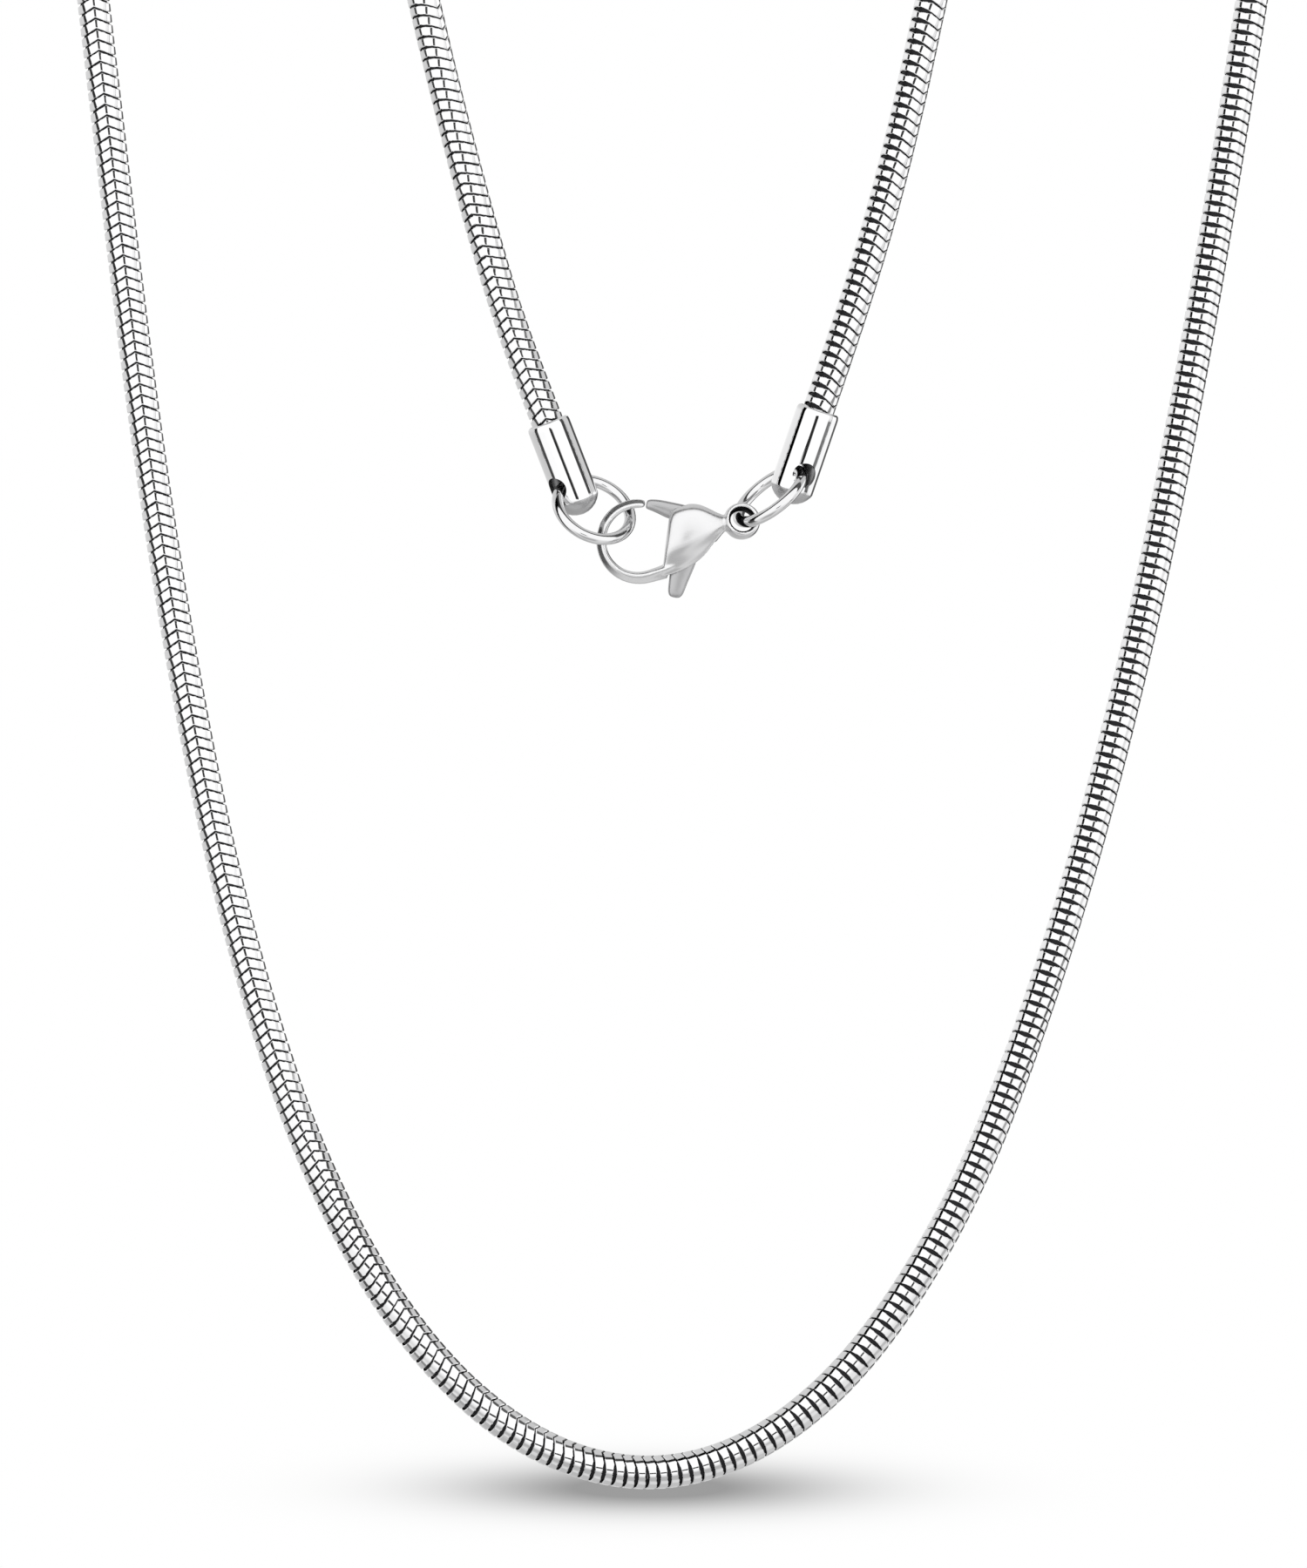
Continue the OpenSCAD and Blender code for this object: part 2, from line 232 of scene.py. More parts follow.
# Name, brightness, roughness, height and size of the ripple
link_polish = steel("link_polish", 0.90, 0.07, 0.003, 1.1)
# Near-black steel is painted shade: the insides of the links, the core in the gaps, the eyelet's hole
gap_painted_shade = steel("gap_painted_shade", 0.03, 0.45, 0.002, 0.8, cool=0.002)
cap_polish = steel("cap_polish", 0.91, 0.045, 0.004, 3.0)
ring_polish = steel("ring_polish", 0.80, 0.07, 0.004, 1.4)
cap_end_satin = steel("cap_end_satin", 0.58, 0.32, 0.002, 2.0)
# Grey steel is painted shade inside the caps' hollows and cross holes
hole_painted_shade = steel("hole_painted_shade", 0.36, 0.30, 0.002, 1.0)
lever_satin = steel("lever_satin", 0.50, 0.30, 0.0015, 2.0)
print("materials:", [m.name for m in bpy.data.materials])

# %% [markdown]
# ## One link of snake chain
# A snake chain is a pile of short wavy bands, each pushed into the next. One link is shaped
# from a short open tube and is then repeated along the line. As it is repeated hundreds of
# times, it has only sixteen sides and four rows of faces: the band, two lips that taper
# inwards, and an inside, painted near-black as shade, that the last step bridges from lip to lip.

# %% Model the link
SIDES = 16
PITCH = 0.000794
GAP = 0.00012
LINK_R = 0.001185
LIP = 0.00006
LIP_TAPER = 0.945
INSIDE_R = 0.96 * LINK_R
NEARLY = 0.99


def only(obj):
    """Leaves everything deselected but this object, which becomes the active one."""
    bpy.ops.object.select_all(action="DESELECT")
    obj.select_set(True)
    bpy.context.view_layer.objects.active = obj


def pick(obj, test):
    """In edit mode, selects just the vertices that pass the test of their place."""
    bpy.ops.mesh.select_mode(type="VERT")
    bpy.ops.mesh.select_all(action="DESELECT")
    bpy.ops.object.mode_set(mode="OBJECT")
    for v in obj.data.vertices:
        v.select = bool(test(v.co))
    bpy.ops.object.mode_set(mode="EDIT")


def face_outwards():
    """In edit mode, turns every face outwards, and goes back to object mode."""
    bpy.ops.mesh.select_all(action="SELECT")
    bpy.ops.mesh.normals_make_consistent(inside=False)
    bpy.ops.object.mode_set(mode="OBJECT")


flat = (PITCH - GAP) / 2 - LIP
bpy.ops.object.select_all(action="DESELECT")
bpy.ops.mesh.primitive_cylinder_add(
    vertices=SIDES, radius=LINK_R, depth=2 * flat, end_fill_type="NOTHING", location=(0, 0, 0))
link = bpy.context.object
bpy.ops.object.mode_set(mode="EDIT")
for side in (1, -1):
    pick(link, lambda co: co.z * side > flat * NEARLY)
    bpy.ops.mesh.extrude_region_move(TRANSFORM_OT_translate={"value": (0, 0, side * LIP)})
    bpy.ops.transform.resize(value=(LIP_TAPER, LIP_TAPER, 1))
pick(link, lambda co: abs(co.z) > flat + LIP / 2)
bpy.ops.mesh.select_mode(type="EDGE")
bpy.ops.mesh.bridge_edge_loops()
face_outwards()
print("straight link:", len(link.data.polygons), "faces")

# %% [markdown]
# ## The wave of the link
# Both edges of a band rise and fall twice on their way round the chain. On the closed form
# the rises are round humps and the dips between them are sharp. On the peaked form it is the
# other way about, as on a band that is turned end for end, and the photograph has both. Bands
# of these two forms lie close together. Each has an open form too, called open and arched: it
# is flatter, and one of its edges draws back where the wave is round, which leaves the thin
# black lens there. Moving the corners by a formula keeps all four forms alike in their faces,
# so that the chain can blend them along its length.

# %% Give the link its wave
WAVE = 0.00034
LENS = 0.00023
LENS_POINT = 1.3
SHARP_TIP = 0.05
OPEN_WAVE, ARCHED_WAVE = 0.62, 0.85


def wave_forms(co):
    """Where a point of the straight link goes on the closed, open, peaked and arched form."""
    turn = math.atan2(co.y, co.x)
    share = min(1, max(0, 0.5 + co.z / (2 * flat)))
    hump = WAVE * (2 * math.hypot(math.cos(turn), SHARP_TIP) - 1)
    peak = WAVE * (1 - 2 * math.hypot(math.sin(turn), SHARP_TIP))
    fall = share * LENS * max(0, math.cos(2 * turn)) ** LENS_POINT
    lift = (1 - share) * LENS * max(0, -math.cos(2 * turn)) ** LENS_POINT
    rises = (hump, OPEN_WAVE * hump - fall, peak, ARCHED_WAVE * peak + lift)
    return [(co.x, co.y, co.z + rise) for rise in rises]


forms = np.array([wave_forms(v.co) for v in link.data.vertices])
closed_link, open_link, peaked_link, arched_link = forms.transpose(1, 0, 2)
link_faces = [tuple(p.vertices) for p in link.data.polygons]
link_inside = [max(math.hypot(*link.data.vertices[v].co[:2]) for v in p.vertices) < INSIDE_R
               for p in link.data.polygons]
bpy.data.objects.remove(link)
print("link:", len(link_faces), "faces,", sum(link_inside), "of them inside")

# %% [markdown]
# ## The links along the chain
# Each copy is set at its run along the line, with its axis along the chain. The chain isn't
# laid without twist: along its length the humps wander round it, and it is nearly closed on
# the left strands and opens at the bottom and on the right. An array on a curve would repeat
# one form only. So the roll, in degrees, and the two blends are written down at a few runs, in
# metres from the left cap, and each link adds a tiny turn of its own. Round the lowest bend
# the photograph shows the chain a little broader, so it swells there.

# %% Set the links along the chain
ROLL = [(0.0, 0), (0.012, -12), (0.03, -38), (0.075, -60), (0.11, -90), (0.19, -90),
        (0.225, -125), (0.245, -168), (0.29, -192), (0.33, -200), (0.40, -204), (0.44, -232),
        (0.4845, -235)]
PEAKED = [(0.0, 1.0), (0.010, 0.9), (0.022, 0.2), (0.03, 0.0), (0.365, 0.0), (0.395, 1.0),
          (0.4845, 1.0)]
OPENING = [(0.0, 0.2), (0.20, 0.15), (0.235, 0.6), (0.26, 0.75), (0.30, 1.0), (0.4845, 1.0)]
ROLL_CHANCE = 1.2
TUCKED = 2
SWELL, SWELL_REACH = 0.045, 0.035
LINK_CREASE = math.radians(38)

count = round(run[-1] / PITCH)
chance = np.random.default_rng(7)


def blended(x, stops):
    """The value at x from a short table of (x, value), blended in between."""
    return float(np.interp(x, *zip(*stops)))


def link_corners(s):
    """The corners of the link at run s: its form there, swollen, rolled and set in its place."""
    at, way = on_line(s)
    roll = math.radians(blended(s, ROLL) + chance.normal(0, ROLL_CHANCE))
    front = np.array([0, -1, 0])
    side = np.array([way[1], 0, -way[0]])
    along = np.array([way[0], 0, way[1]])
    axes = np.array([math.cos(roll) * front + math.sin(roll) * side,
                     -math.sin(roll) * front + math.cos(roll) * side, along])
    opening = blended(s, OPENING)
    humped = closed_link + opening * (open_link - closed_link)
    pointed = peaked_link + opening * (arched_link - peaked_link)
    form = humped + blended(s, PEAKED) * (pointed - humped)
    spread = 1 + SWELL * math.exp(-((s - half_run) / SWELL_REACH) ** 2)
    return np.array([at[0], 0, at[1]]) + form * np.array([spread, spread, 1.0]) @ axes


def mesh_piece(name, corners, faces):
    """A new object from corners and faces, which becomes the only selected one."""
    mesh = bpy.data.meshes.new(name)
    mesh.from_pydata(corners, [], faces)
    obj = bpy.data.objects.new(name, mesh)
    bpy.context.scene.collection.objects.link(obj)
    only(obj)
    return obj


def chain_piece(name, first, last, node):
    """Joins the links from first to last into one mesh that stands for a chain node."""
    links = [link_corners((i + 0.5) * run[-1] / count) for i in range(first, last)]
    faces = [tuple(k * len(closed_link) + corner for corner in face)
             for k in range(len(links)) for face in link_faces]
    obj = mesh_piece(name, np.vstack(links).tolist(), faces)
    bpy.ops.object.mode_set(mode="EDIT")
    face_outwards()
    bpy.ops.object.shade_smooth_by_angle(angle=LINK_CREASE)
    obj.data.materials.append(link_polish)
    obj.data.materials.append(gap_painted_shade)
    # The inside faces of every link wear the near-black painted shade
    dark = [int(inside) for inside in link_inside] * len(links)
    obj.data.polygons.foreach_set("material_index", dark)
    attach(obj, "necklace")
    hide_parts(node)
    print(name, len(links), "links,", len(obj.data.polygons), "faces")


middle_link = int(half_run / run[-1] * count)
chain_piece("chain_links_left", -TUCKED, middle_link, "chain_left")
chain_piece("chain_links_right", middle_link, count + TUCKED, "chain_right")

# %% [markdown]
# Inside the bands runs the neck that each link pushes into the next one. It only shows in the
# black gaps, so one smooth core along the same line does for all of them: a curve with a round
# bevel, turned into a mesh. It wears the near-black steel, a painted shade that keeps the gaps black.

# %% Core of the chain
CORE_R = 0.00102
CORE_STEP = 0.0012
SEAT = 0.0022


def core_piece(name, first, last):
    """A round core swept along the chain's line between two runs."""
    data = bpy.data.curves.new(name, "CURVE")
    data.dimensions = "3D"
    data.bevel_depth = CORE_R
    data.bevel_resolution = 3
    data.use_fill_caps = True
    places = [on_line(s)[0] for s in np.linspace(first, last, int((last - first) / CORE_STEP))]
    thread = data.splines.new("POLY")
    thread.points.add(len(places) - 1)
    for point, at in zip(thread.points, places):
        point.co = (at[0], 0, at[1], 1)
    obj = bpy.data.objects.new(name, data)
    bpy.context.scene.collection.objects.link(obj)
    only(obj)
    bpy.ops.object.convert(target="MESH")
    obj = bpy.context.object
    bpy.ops.object.shade_smooth()
    obj.data.materials.clear()
    # Near-black steel: the painted shade in the gaps
    obj.data.materials.append(gap_painted_shade)
    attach(obj, "necklace")
    print(name, len(obj.data.polygons), "faces")


core_piece("chain_core_left", -SEAT, half_run)
core_piece("chain_core_right", half_run, run[-1] + SEAT)

# %% [markdown]
# ## The clasp
# A lobster clasp is a steel casting: a soft pillow of a body that runs out into a round hook
# at one end and into an eyelet at the other, with a slot in it for the sprung lever. It is
# modelled flat, in millimetres, with the middle of its hook at the origin, and is then set on
# the frame's hinge. The body and the hook grow ring by ring: each ring is extruded from the one
# before and gets its own place, height, thickness and turn. Sculpting could round them too,
# but rings keep every measure in sight.

# %% Place of the clasp and its growing rings
CLASP_RISE = math.radians(11.8)
PIN = Vector((4.1965, 0, 0.7497))
BODY_SIDES, BAR_SIDES = 16, 12
# Corners of a ring up to this share of its half height count as its middle
MIDDLE_BAND = 0.2

hinge = Vector(frame["joints"][0]["pos_m"])
clasp_place = (Matrix.Translation(hinge) @ Matrix.Rotation(-CLASP_RISE, 4, "Y")
               @ Matrix.Scale(MM, 4) @ Matrix.Translation(-PIN))
print("hinge of the clasp:", [round(v, 5) for v in hinge])


def turned(angle, about):
    """Turns the selection about a line along Y: upright ring tops lean towards +X."""
    bpy.ops.transform.rotate(value=-angle, orient_axis="Y", center_override=about)


def first_ring(name, sides, ring, top_heavy=0.0, roundness=1.0, ridge=None):
    """A disc of the first ring; less roundness squares it, top_heavy thickens its upper half.

    A ridge (height, drop) raises the middle of both faces to a crest that lies a little low."""
    centre, tall, thick, turn = ring
    bpy.ops.object.select_all(action="DESELECT")
    bpy.ops.mesh.primitive_circle_add(
        vertices=sides, radius=1, fill_type="NGON", location=(0, 0, 0), rotation=(0, math.pi / 2, 0))
    obj = bpy.context.object
    obj.name = name
    bpy.ops.object.transform_apply(location=True, rotation=True, scale=True)
    for v in obj.data.vertices:
        v.co.y = math.copysign(abs(v.co.y) ** roundness, v.co.y)
        v.co.z = math.copysign(abs(v.co.z) ** roundness, v.co.z)
    bpy.ops.object.mode_set(mode="EDIT")
    for side in (1, -1):
        pick(obj, lambda co: co.z * side > MIDDLE_BAND)
        bpy.ops.transform.resize(value=(1, 1 + side * top_heavy, 1), center_override=(0, 0, 0))
    if ridge:
        pick(obj, lambda co: abs(co.z) < MIDDLE_BAND)
        bpy.ops.transform.resize(value=(1, ridge[0], 1), center_override=(0, 0, 0))
        bpy.ops.transform.translate(value=(0, 0, -ridge[1]))
    bpy.ops.mesh.select_all(action="SELECT")
    bpy.ops.transform.resize(value=(1, thick, tall), center_override=(0, 0, 0))
    turned(turn, (0, 0, 0))
    bpy.ops.transform.translate(value=(centre[0], 0, centre[1]))
    bpy.ops.mesh.select_mode(type="FACE")
    return obj


def finished(obj, kind, **settings):
    """Adds one modifier with these settings to the object and applies it."""
    only(obj)
    modifier = obj.modifiers.new(kind.lower(), kind)
    for name, value in settings.items():
        setattr(modifier, name, value)
    bpy.ops.object.modifier_apply(modifier=modifier.name)


def grown(name, sides, rings, rounded=True, **form):
    """A closed shape extruded through rings of (centre, half height, half thickness, turn)."""
    obj = first_ring(name, sides, rings[0], **form)
    for (was, tall_was, thick_was, turn_was), (centre, tall, thick, turn) in zip(rings, rings[1:]):
        step = (centre[0] - was[0], 0, centre[1] - was[1])
        about = (centre[0], 0, centre[1])
        bpy.ops.mesh.extrude_region_move(TRANSFORM_OT_translate={"value": step})
        turned(-turn_was, about)
        bpy.ops.transform.resize(value=(1, thick / thick_was, tall / tall_was), center_override=about)
        turned(turn, about)
    face_outwards()
    if rounded:
        finished(obj, "SUBSURF", levels=2, render_levels=2)
    print(name, "grown through", len(rings), "rings to", len(obj.data.polygons), "faces")
    return obj


# %% [markdown]
# The body is a pillow with a crest along each face. It starts narrow at the eyelet, swells
# over the pin and ends in a slanted front edge, from which hook and lever come out. Its rings
# are written as the points of the lower and the upper edge that they span, because those are
# what the photograph shows.

# %% Clasp body
# Lower edge and upper edge as x and z, and half the thickness there
BODY_SPANS = [
    ((6.75, -0.42), (6.75, 0.40), 0.40), ((6.33, -0.62), (6.39, 0.64), 0.60),
    ((5.85, -1.02), (5.95, 0.94), 0.84), ((5.30, -1.48), (5.45, 1.36), 1.03),
    ((4.75, -1.90), (5.02, 1.68), 1.14), ((4.15, -2.28), (4.55, 1.87), 1.22),
    ((3.45, -2.58), (4.05, 1.94), 1.28), ((2.75, -2.77), (3.55, 1.94), 1.28),
    ((2.05, -2.88), (3.10, 1.90), 1.20), ((1.50, -2.90), (2.82, 1.78), 1.06),
    ((1.22, -2.86), (2.70, 1.66), 0.92), ((1.20, -2.70), (2.64, 1.50), 0.78),
]


def spanned(low, high, thick):
    """The ring between a point of the lower edge and one of the upper edge."""
    across = (high[0] - low[0], high[1] - low[1])
    centre = ((low[0] + high[0]) / 2, (low[1] + high[1]) / 2)
    return centre, math.hypot(*across) / 2, thick, math.atan2(*across)


body_shell = grown("body_shell", BODY_SIDES, [spanned(*row) for row in BODY_SPANS],
                   top_heavy=0.14, roundness=0.6, ridge=(1.24, 0.25))

# %% [markdown]
# The hook is a wire that runs round in three fifths of a circle and gets thinner towards its
# tip. Its root broadens and runs along the lower edge of the body. A torus would have one
# thickness all the way, so the hook grows as the body did: the root's rings are written down,
# and those of the round part are worked out from their angle.

# %% Hook of the clasp
HOOK_LINE_R = 2.75
HOOK_STEPS = 20
HOOK_FROM, HOOK_TO = math.radians(-80), math.radians(-293)
# Share of the way along the hook, and the radius of its wire there
HOOK_TAPER = [(0.0, 0.50), (0.05, 0.49), (0.15, 0.465), (0.45, 0.39), (0.9, 0.365), (0.96, 0.35),
              (1.0, 0.31)]
ROOT_RINGS = [
    ((5.40, -0.66), 0.30, 0.34, 2.40), ((4.85, -1.16), 0.45, 0.50, 2.45),
    ((4.20, -1.68), 0.56, 0.66, 2.55), ((3.20, -2.16), 0.62, 0.80, 2.68),
    ((2.25, -2.48), 0.59, 0.80, 2.86), ((1.35, -2.64), 0.55, 0.74, 2.95),
]
# The band that carries the hook on along the lower edge, on both sides of the lever
BAND_RINGS = [
    ((5.35, -1.10), 0.22, 0.45, 2.45), ((4.95, -1.40), 0.34, 0.66, 2.47),
    ((4.10, -1.93), 0.42, 0.74, 2.58), ((3.20, -2.30), 0.45, 0.76, 2.74),
    ((2.25, -2.52), 0.45, 0.74, 2.90), ((1.45, -2.62), 0.44, 0.66, 2.98),
    ((0.90, -2.66), 0.36, 0.46, 3.02),
]


def hook_ring(k):
    """Ring k of the hook's round part."""
    part = k / HOOK_STEPS
    angle = HOOK_FROM + (HOOK_TO - HOOK_FROM) * part
    wire = blended(part, HOOK_TAPER)
    centre = (HOOK_LINE_R * math.cos(angle), HOOK_LINE_R * math.sin(angle))
    return centre, wire, wire, math.pi / 2 - angle


hook_rings = ROOT_RINGS + [hook_ring(k) for k in range(HOOK_STEPS + 1)]
hook = grown("hook", BAR_SIDES, hook_rings, top_heavy=-0.42)
root_band = grown("root_band", BAR_SIDES, BAND_RINGS, roundness=0.7)

# %% [markdown]
# The eyelet is a short tube with rounded edges. A torus that is stretched along its axis has
# that form without any cutting. As in the photograph, it sits a little askew on the body's
# narrow end, so that the wall of its hole shows.

# %% Eyelet of the clasp
EYELET_AT = Vector((7.7, 0, -0.147))
EYELET_R, EYELET_WALL, EYELET_HEIGHT = 1.10, 0.255, 0.66
EYELET_TURN, EYELET_LEAN = math.radians(14), math.radians(-18)

bpy.ops.object.select_all(action="DESELECT")
bpy.ops.mesh.primitive_torus_add(
    major_radius=EYELET_R, minor_radius=EYELET_WALL, major_segments=64, minor_segments=24,
    location=(0, 0, 0), rotation=(math.pi / 2, 0, 0))
eyelet = bpy.context.object
bpy.ops.object.transform_apply(location=True, rotation=True, scale=True)
bpy.ops.object.mode_set(mode="EDIT")
bpy.ops.mesh.select_all(action="SELECT")
bpy.ops.transform.resize(value=(1, EYELET_HEIGHT / EYELET_WALL, 1), center_override=(0, 0, 0))
bpy.ops.object.mode_set(mode="OBJECT")
eyelet.matrix_world = (Matrix.Translation(EYELET_AT) @ Matrix.Rotation(EYELET_TURN, 4, "Z")
                       @ Matrix.Rotation(EYELET_LEAN, 4, "X"))
bpy.ops.object.transform_apply(location=True, rotation=True, scale=True)
print("eyelet:", len(eyelet.data.polygons), "faces")

# %% [markdown]
# The slot is what the lever sweeps as it turns, open at the front edge, above it and at the
# lower edge. It is a flat outline filled, extruded through the middle of the body, and cut out
# of it. A bore for the pin goes in from the back as far as the slot, and the front stays whole.

# %% Slot and pin bore
SLOT_HALF = 0.47
SLOT_OUTLINE = [
    (1.3, 3.5), (3.4, 3.5), (3.6, 2.2), (4.0, 1.85), (4.5, 1.62), (4.9, 1.15), (5.0, 0.5),
    (5.25, -0.6), (5.6, -1.5), (5.8, -2.4), (5.4, -5.5), (0.6, -5.5), (1.45, -3.2), (2.5, -1.3),
    (3.25, 0.0), (2.5, 0.15), (1.7, 0.35), (1.3, 0.3),
]
CASTING_BORE_R, LEVER_BORE_R = 0.42, 0.45
BORE_SIDES = 32


def slot_tool():
    """A prism with the slot's outline, to cut with."""
    outline = [(x, -SLOT_HALF, z) for x, z in SLOT_OUTLINE]
    obj = mesh_piece("slot", outline, [tuple(range(len(outline)))])
    bpy.ops.object.mode_set(mode="EDIT")
    bpy.ops.mesh.select_all(action="SELECT")
    bpy.ops.mesh.extrude_region_move(TRANSFORM_OT_translate={"value": (0, 2 * SLOT_HALF, 0)})
    face_outwards()
    return obj


def round_tool(sides, radius, length, middle, rotation):
    """A cylinder to cut with."""
    bpy.ops.object.select_all(action="DESELECT")
    bpy.ops.mesh.primitive_cylinder_add(
        vertices=sides, radius=radius, depth=length, location=middle, rotation=rotation)
    return bpy.context.object


def pin_bore(radius, front, back):
    """A cylinder round the pin's line, between two depths."""
    return round_tool(BORE_SIDES, radius, back - front, (PIN.x, (front + back) / 2, PIN.z),
                      (math.pi / 2, 0, 0))


def cut(obj, tool):
    """Cuts the tool out of the object and deletes the tool."""
    finished(obj, "BOOLEAN", operation="DIFFERENCE", object=tool, solver="EXACT")
    bpy.data.objects.remove(tool)


for shell in (body_shell, hook, root_band):
    cut(shell, slot_tool())
cut(body_shell, pin_bore(CASTING_BORE_R, front=0.0, back=2.0))
print("body shell after its cuts:", len(body_shell.data.polygons), "faces")

# %% [markdown]
# The body, the hook, its band and the eyelet overlap, as the wax parts of a casting do before
# they are melted together. A voxel remesh fuses them into one skin, and a few rounds of
# smoothing give every joint and edge the small fillet that tumbling leaves.

# %% Fuse the casting
VOXEL = 0.06
CLASP_CREASE = math.radians(50)
BODY_MIDDLE = Vector((3.9, 0, -0.2))
SOFT_REACH, SOFT_GLOSS = 0.0034, 0.20
FACES_AXIS = -0.40

bpy.ops.object.select_all(action="DESELECT")
for shell in (body_shell, hook, root_band, eyelet):
    shell.select_set(True)
bpy.context.view_layer.objects.active = body_shell
bpy.ops.object.join()
casting = bpy.context.object
finished(casting, "REMESH", mode="VOXEL", voxel_size=VOXEL, adaptivity=0.0)
finished(casting, "SMOOTH", factor=0.5, iterations=10)


def seat_fitting(obj, name, material, body, node, place=clasp_place, crease=CLASP_CREASE):
    """Brings a piece to its place in metres and says what it rides on and replaces."""
    only(obj)
    obj.matrix_world = place
    bpy.ops.object.transform_apply(location=True, rotation=True, scale=True)
    bpy.ops.object.shade_smooth_by_angle(angle=crease)
    obj.name = name
    obj.data.name = name
    obj.data.materials.clear()
    obj.data.materials.append(material)
    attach(obj, body)
    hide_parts(node)
    print(name, len(obj.data.polygons), "faces")


def in_eyelet(face):
    """Whether a face is on the wall of the eyelet's hole, which faces its axis."""
    out = face.center - EYELET_AT
    out.y = 0
    return out.length < EYELET_R and face.normal.dot(out.normalized()) < FACES_AXIS


clasp_polish = steel("clasp_polish", 0.82, 0.20, 0.004, 2.2,
                     soft=(clasp_place @ BODY_MIDDLE, SOFT_REACH, SOFT_GLOSS))
# The wall of the eyelet's hole gets the near-black steel as painted shade
eyelet_painted_shade = [int(in_eyelet(face)) for face in casting.data.polygons]
seat_fitting(casting, "clasp_casting", clasp_polish, "necklace", "clasp_body")
casting.data.materials.append(gap_painted_shade)
casting.data.polygons.foreach_set("material_index", eyelet_painted_shade)
print("dark faces in the eyelet:", sum(eyelet_painted_shade))

# %% [markdown]
# The lever is a stamped bar with rounded edges. It grows from the round end of its thumb tab,
# widens where it goes into the body, turns about the pin and ends in the nose that closes the
# hook. It is a piece of its own, because it moves.

# %% Lever
LEVER_HALF = 0.38
LEVER_RINGS = [
    ((1.70, -4.62), 0.26, 0.22, -1.15), ((1.78, -4.50), 0.48, 0.33, -1.15),
    ((1.92, -4.20), 0.62, LEVER_HALF, -1.15), ((2.24, -3.50), 0.70, LEVER_HALF, -1.13),
    ((2.75, -2.55), 0.86, LEVER_HALF, -1.10), ((3.52, -1.20), 0.95, LEVER_HALF, -1.15),
    ((4.05, 0.10), 0.78, LEVER_HALF, -1.35), ((4.10, 0.85), 0.74, LEVER_HALF, -1.85),
    ((3.70, 1.25), 0.72, LEVER_HALF, -2.25), ((3.20, 1.48), 0.68, LEVER_HALF, -2.50),
    ((2.60, 1.78), 0.62, LEVER_HALF, -2.58), ((1.98, 2.16), 0.52, LEVER_HALF, -2.66),
    ((1.50, 2.38), 0.43, 0.37, -2.72), ((1.22, 2.48), 0.36, 0.33, -2.76),
    ((1.10, 2.50), 0.26, 0.24, -2.76),
]
lever = grown("lever", BAR_SIDES, LEVER_RINGS, roundness=0.7)
cut(lever, pin_bore(LEVER_BORE_R, front=-1.0, back=1.0))
seat_fitting(lever, "lever_bar", lever_satin, "lever", "clasp_lever")

# %% [markdown]
# ## The end caps
# Each cap is a turned tube with a rounded mouth, a domed end with a crisp rim, and a cross hole
# for the jump ring. A cylinder with bevels would round both ends alike, so the cap grows along
# its own line in millimetres: from the floor of the chain's socket, out of the mouth, over its
# rounded edge and along the outside to the top of the dome. A hollow and the cross hole are cut
# out of it last. The inside is painted a darker grey, as shade in the hollow and the hole, and
# the dome gets a satin finish.

# %% End caps
CAP_SIDES, TOOL_SIDES = 64, 48
CAP_R, CAP_LENGTH, DOME, DOME_R = 1.6, 7.25, 1.1, 1.714
SOCKET_R, SOCKET_DEPTH = 1.26, 2.4
WALL_R, HOLLOW_FROM, HOLLOW_TO = 1.32, 2.75, 6.3
HOLE_R, HOLE_AT = 0.9, 4.85
# Run along the cap's line, and the radius there, from the socket to where the dome begins
CAP_WALL = [
    (SOCKET_DEPTH, SOCKET_R), (0.30, SOCKET_R), (0.10, 1.29), (0.0, 1.36), (0.03, 1.46),
    (0.12, 1.55), (0.30, 1.595), (0.42, CAP_R), (0.60, CAP_R), (5.90, CAP_R), (6.08, CAP_R),
    (6.17, 1.588),
]
DOME_ANGLES = [27, 38, 50, 62, 74, 86]
CAP_CREASE = math.radians(30)
# What counts as the inside: between these runs, and facing inwards or this near the hollow
INSIDE_FROM, INSIDE_TO = 0.35, 6.45
FACES_OUT, NEAR_HOLLOW = 0.5, 0.02
# Finishes by number: polish, painted shade inside, satin on the dome
POLISHED, PAINTED_SHADE, SATIN = 0, 1, 2


def cap_rings():
    """The cap's rings, from the floor of its socket to the top of its dome."""
    dome_middle = CAP_LENGTH - DOME_R
    dome = [(dome_middle + DOME_R * math.sin(math.radians(a)), DOME_R * math.cos(math.radians(a)))
            for a in DOME_ANGLES]
    return [((along, 0), radius, radius, 0.0) for along, radius in CAP_WALL + dome]


def cap_finish(face):
    """Which of the cap's three materials a face wears."""
    out = Vector((0, face.center.y, face.center.z))
    faces_in = face.normal.dot(out.normalized()) < FACES_OUT or out.length < WALL_R + NEAR_HOLLOW
    if INSIDE_FROM < face.center.x < INSIDE_TO and faces_in:
        return PAINTED_SHADE
    return SATIN if face.center.x > CAP_LENGTH - DOME else POLISHED


